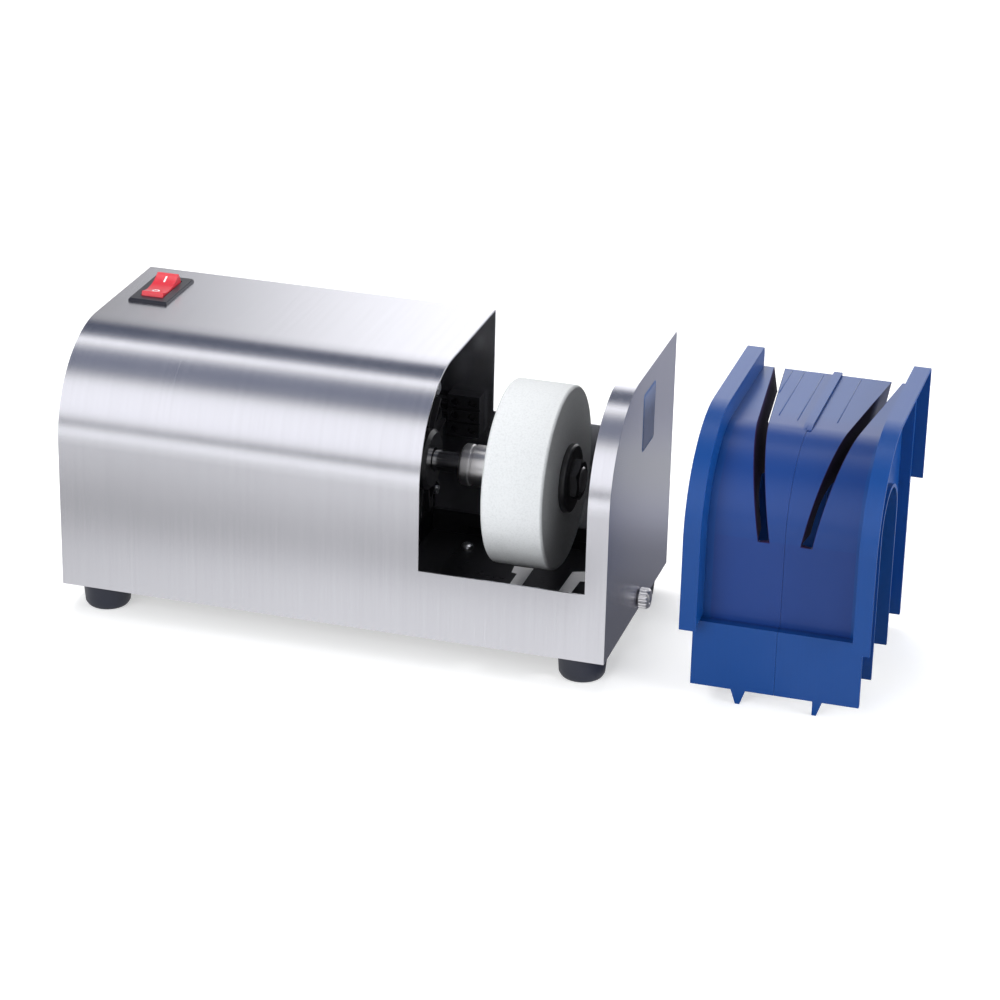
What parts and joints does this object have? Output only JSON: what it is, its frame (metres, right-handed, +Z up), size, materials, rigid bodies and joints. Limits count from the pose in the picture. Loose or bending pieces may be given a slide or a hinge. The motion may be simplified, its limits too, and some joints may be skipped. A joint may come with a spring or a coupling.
{
  "type": "wet grinding sharpener",
  "caption": "Bench knife sharpener: folded steel housing with an open bay, motor-driven white grinding wheel, rocker switch and a separate lift-in guide with leaning knife slots.",
  "frame": {"origin": "on the floor under the middle of the row of machine and guide", "axes": "+X along the machine from the motor end to the guide, +Y from front to back, +Z up"},
  "size_m": [0.48, 0.1506, 0.1743],
  "materials": {
    "stainless": "fine brushed stainless sheet",
    "bay_steel": "dark grey zinc-plated and painted sheet",
    "black_paint": "semi-gloss black paint",
    "zinc": "bright zinc plate",
    "foot_rubber": "smooth black rubber",
    "black_plastic": "fine matte moulding",
    "brass": "machined brass",
    "lamination": "dark varnished lamination steel",
    "winding": "varnished copper wire",
    "cast_black": "black powder coat on castings",
    "bearing_steel": "ground steel",
    "turned_steel": "fine turned steel",
    "dark_steel": "black oxide",
    "white_abrasive": "fine-grained white vitrified abrasive",
    "grey_lead": "cast grey bush",
    "aluminium_can": "drawn aluminium can",
    "lead_cover": "soft wire insulation",
    "switch_black": "semi-gloss moulding",
    "switch_red": "glossy red moulding",
    "guide_blue": "satin-gloss royal blue moulding"
  },
  "bodies": {
    "housing": {"housing_wrap": "stainless", "bay_lip": "stainless", "bay_back_wall": "stainless", "end_box_wrap": "stainless", "left_end_plate": "stainless", "right_end_plate": "stainless", "bay_right_wall": "bay_steel", "motor_bulkhead": "black_paint", "base_pan": "bay_steel", "bay_tray": "black_paint", "tray_screws": "zinc", "rubber_feet": "foot_rubber", "foot_screws": "zinc", "foot_nuts": "zinc", "cover_screws": "zinc", "thumbscrew_bush": "brass", "stator_stack": "lamination", "stator_windings": "winding", "front_bell": "cast_black", "rear_bell": "cast_black", "through_bolts": "zinc", "motor_cradle": "bay_steel", "cradle_screws": "zinc", "front_bearing": "bearing_steel", "rear_bearing": "bearing_steel", "run_capacitor": "aluminium_can", "capacitor_clip": "zinc", "terminal_block": "black_plastic", "switch_leads": "lead_cover", "switch_housing": "switch_black", "switch_tabs": "brass", "cord_bush": "black_plastic", "cord_bush_nut": "black_plastic"},
    "spindle": {"motor_shaft": "bearing_steel", "rotor_core": "lamination", "cooling_fan": "black_plastic", "hub_sleeve": "turned_steel", "sleeve_set_screw": "dark_steel", "inner_flange": "cast_black", "grinding_wheel": "white_abrasive", "wheel_bush": "grey_lead", "outer_flange": "cast_black", "spindle_nut": "dark_steel"},
    "rocker": {"switch_rocker": "switch_red"},
    "cover_knob": {"thumbscrew": "black_plastic"},
    "knife_guide": {"guide_left_half": "guide_blue", "guide_right_half": "guide_blue", "guide_screws": "zinc"}
  },
  "joints": [
    {"name": "wheel_spin", "type": "hinge", "parent": "housing", "child": "spindle", "pos_m": [0.02855, -0.0023, 0.096], "axis": [1, 0, 0], "continuous": true},
    {"name": "rocker_tilt", "type": "hinge", "parent": "housing", "child": "rocker", "pos_m": [-0.2173, 0.0302, 0.164], "axis": [-1, 0, 0], "range_deg": [0, 16]},
    {"name": "thumbscrew_turn", "type": "hinge", "parent": "housing", "child": "cover_knob", "pos_m": [0.09005, 0.0027, 0.0245], "axis": [1, 0, 0], "continuous": true},
    {"name": "guide_lift", "type": "slide", "parent": "housing", "child": "knife_guide", "axis": [0, 0, 1], "range_m": [0, 0.16]}
  ]
}
